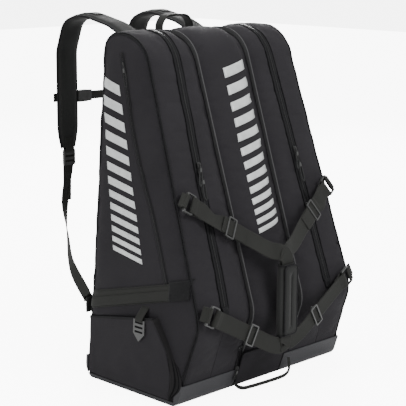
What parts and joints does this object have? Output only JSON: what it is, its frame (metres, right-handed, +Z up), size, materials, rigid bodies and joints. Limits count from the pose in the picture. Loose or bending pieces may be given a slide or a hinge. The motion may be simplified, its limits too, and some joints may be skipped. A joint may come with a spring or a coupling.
{
  "type": "racket tournament bag",
  "caption": "Tall tapered racket bag with three zipped compartments, a crossed webbing handle, backpack straps, side pockets and a shoe pocket in the base.",
  "frame": {"origin": "centre of the flat underside of the base", "axes": "+Z up, front with the webbing handle faces -Y, shoulder straps face +Y, left side faces -X"},
  "size_m": [0.544, 0.6294, 0.7922],
  "materials": {
    "shell_fabric": "plain woven polyester, soft sheen",
    "side_fabric": "plain woven polyester, matte",
    "coated_base": "smooth coated fabric",
    "stiffener": "matte board",
    "back_mesh": "air mesh",
    "lining": "smooth lining",
    "zip_coil": "nylon coil",
    "webbing": "ribbed webbing",
    "plastic": "moulded acetal, satin edges",
    "slider_metal": "black painted",
    "pull_cord": "braided cord",
    "strap_fabric": "padded woven fabric"
  },
  "bodies": {
    "bag_body": {"base_tray": "coated_base", "base_board": "stiffener", "centre_shell": "shell_fabric", "back_pad": "back_mesh", "sternum_socket": "plastic", "strap_ladder_locks": "plastic", "strap_anchor_tabs": "webbing", "lower_ring_tabs": "webbing", "handle_grip": "strap_fabric", "left_divider": "lining", "left_inner_gusset": "shell_fabric", "left_lower_shell": "shell_fabric", "left_main_zip": "zip_coil", "left_side_pocket": "shell_fabric", "left_shoulder_strap": "strap_fabric", "left_strap_webbing": "webbing", "left_handle_webbing": "webbing", "left_side_band": "webbing", "left_buckle_tab": "webbing", "right_divider": "lining", "right_inner_gusset": "shell_fabric", "right_lower_shell": "shell_fabric", "right_main_zip": "zip_coil", "right_side_pocket": "shell_fabric", "right_shoulder_strap": "strap_fabric", "right_strap_webbing": "webbing", "right_handle_webbing": "webbing", "right_side_band": "webbing", "right_buckle_tab": "webbing"},
    "left_cover": {"left_cover": "side_fabric", "left_upper_ring_tab": "webbing"},
    "left_upper_ring": {"left_upper_ring": "plastic"},
    "left_upper_glide": {"left_upper_glide": "plastic"},
    "left_lower_ring": {"left_lower_ring": "plastic"},
    "left_lower_glide": {"left_lower_glide": "plastic"},
    "left_lower_slider": {"left_lower_slider": "slider_metal"},
    "left_lower_pull": {"left_lower_pull": "pull_cord"},
    "left_upper_slider": {"left_upper_slider": "slider_metal"},
    "left_side_slider": {"left_side_slider": "slider_metal"},
    "left_hook_buckle": {"left_hook_buckle": "plastic"},
    "right_cover": {"right_cover": "side_fabric", "right_upper_ring_tab": "webbing"},
    "right_upper_ring": {"right_upper_ring": "plastic"},
    "right_upper_glide": {"right_upper_glide": "plastic"},
    "right_lower_ring": {"right_lower_ring": "plastic"},
    "right_lower_glide": {"right_lower_glide": "plastic"},
    "right_lower_slider": {"right_lower_slider": "slider_metal"},
    "right_lower_pull": {"right_lower_pull": "pull_cord"},
    "right_upper_slider": {"right_upper_slider": "slider_metal"},
    "right_side_slider": {"right_side_slider": "slider_metal"},
    "right_hook_buckle": {"right_hook_buckle": "plastic"},
    "shoe_flap": {"shoe_flap": "shell_fabric"},
    "shoe_zip_slider": {"shoe_zip_slider": "slider_metal"},
    "bottom_loop": {"bottom_loop": "webbing"},
    "grip_flap": {"grip_flap": "strap_fabric"},
    "haul_loop": {"haul_loop": "webbing"},
    "sternum_plug": {"sternum_plug": "plastic", "sternum_webbing": "webbing"}
  },
  "joints": [
    {"name": "left_cover_fold", "type": "hinge", "parent": "bag_body", "child": "left_cover", "pos_m": [-0.24251, 0, 0.282], "axis": [0, -1, 0], "range_deg": [0, 12]},
    {"name": "left_upper_ring_swing", "type": "hinge", "parent": "left_cover", "child": "left_upper_ring", "pos_m": [-0.22154, -0.13716, 0.43156], "axis": [0.5619, 0.2571, 0.7862], "range_deg": [-5, 5]},
    {"name": "left_upper_glide_slide", "type": "slide", "parent": "bag_body", "child": "left_upper_glide", "axis": [0.8271, -0.1921, -0.5283], "range_m": [-0.03, 0.03]},
    {"name": "left_lower_ring_swing", "type": "hinge", "parent": "bag_body", "child": "left_lower_ring", "pos_m": [-0.22747, -0.21167, 0.20664], "axis": [0.4829, 0, 0.8757], "range_deg": [-5, 5]},
    {"name": "left_lower_glide_slide", "type": "slide", "parent": "bag_body", "child": "left_lower_glide", "axis": [0.8737, -0.0667, -0.4819], "range_m": [-0.03, 0.015]},
    {"name": "left_lower_slider_slide", "type": "slide", "parent": "bag_body", "child": "left_lower_slider", "axis": [-0.0421, -0.3105, -0.9496], "range_m": [0, 0.22]},
    {"name": "left_lower_pull_swing", "type": "hinge", "parent": "left_lower_slider", "child": "left_lower_pull", "pos_m": [-0.15428, -0.11779, 0.46923], "axis": [-0.9991, 0.0131, 0.04], "range_deg": [0, 70]},
    {"name": "left_upper_slider_slide", "type": "slide", "parent": "bag_body", "child": "left_upper_slider", "axis": [0.0421, 0.3105, 0.9496], "range_m": [0, 0.19]},
    {"name": "left_side_slider_slide", "type": "slide", "parent": "left_cover", "child": "left_side_slider", "axis": [-0.042, -0.3169, -0.9475], "range_m": [0, 0.37]},
    {"name": "left_hook_buckle_swing", "type": "hinge", "parent": "bag_body", "child": "left_hook_buckle", "pos_m": [-0.26843, -0.046, 0.17126], "axis": [0, 1, 0], "range_deg": [0, 75]},
    {"name": "right_cover_fold", "type": "hinge", "parent": "bag_body", "child": "right_cover", "pos_m": [0.24251, 0, 0.282], "axis": [0, 1, 0], "range_deg": [0, 12]},
    {"name": "right_upper_ring_swing", "type": "hinge", "parent": "right_cover", "child": "right_upper_ring", "pos_m": [0.22903, -0.14345, 0.4129], "axis": [0.5133, -0.2667, -0.8157], "range_deg": [-5, 5]},
    {"name": "right_upper_glide_slide", "type": "slide", "parent": "bag_body", "child": "right_upper_glide", "axis": [-0.8515, -0.2774, -0.4451], "range_m": [-0.02, 0.018]},
    {"name": "right_lower_ring_swing", "type": "hinge", "parent": "bag_body", "child": "right_lower_ring", "pos_m": [0.22543, -0.21188, 0.21273], "axis": [0.4875, 0, -0.8731], "range_deg": [-5, 5]},
    {"name": "right_lower_glide_slide", "type": "slide", "parent": "bag_body", "child": "right_lower_glide", "axis": [-0.8718, -0.0562, -0.4867], "range_m": [-0.03, 0.015]},
    {"name": "right_lower_slider_slide", "type": "slide", "parent": "bag_body", "child": "right_lower_slider", "axis": [0.0421, -0.3105, -0.9496], "range_m": [0, 0.22]},
    {"name": "right_lower_pull_swing", "type": "hinge", "parent": "right_lower_slider", "child": "right_lower_pull", "pos_m": [0.15428, -0.11779, 0.46923], "axis": [-0.9991, -0.0131, -0.04], "range_deg": [0, 70]},
    {"name": "right_upper_slider_slide", "type": "slide", "parent": "bag_body", "child": "right_upper_slider", "axis": [-0.0421, 0.3105, 0.9496], "range_m": [0, 0.19]},
    {"name": "right_side_slider_slide", "type": "slide", "parent": "right_cover", "child": "right_side_slider", "axis": [0.042, -0.3169, -0.9475], "range_m": [0, 0.37]},
    {"name": "right_hook_buckle_swing", "type": "hinge", "parent": "bag_body", "child": "right_hook_buckle", "pos_m": [0.26843, -0.046, 0.17126], "axis": [0, -1, 0], "range_deg": [0, 75]},
    {"name": "shoe_flap_fold", "type": "hinge", "parent": "bag_body", "child": "shoe_flap", "pos_m": [-0.013, -0.1426, 0.006], "axis": [1, 0, 0], "range_deg": [0, 22]},
    {"name": "shoe_zip_slide", "type": "slide", "parent": "bag_body", "child": "shoe_zip_slider", "axis": [0, -0.335, 0.9422], "range_m": [0, 0.045]},
    {"name": "bottom_loop_swing", "type": "hinge", "parent": "bag_body", "child": "bottom_loop", "pos_m": [-0.092, -0.154, 0.014], "axis": [0.985, -0.0771, 0.1543], "range_deg": [-35, 0]},
    {"name": "grip_flap_fold", "type": "hinge", "parent": "bag_body", "child": "grip_flap", "pos_m": [0.015, -0.237, 0.2], "axis": [0, 0, 1], "range_deg": [0, 110]},
    {"name": "haul_loop_swing", "type": "hinge", "parent": "bag_body", "child": "haul_loop", "pos_m": [0, 0.126, 0.755], "axis": [1, 0, 0], "range_deg": [-80, 40]},
    {"name": "sternum_release", "type": "slide", "parent": "bag_body", "child": "sternum_plug", "axis": [1, 0, 0], "range_m": [0, 0.025]}
  ]
}
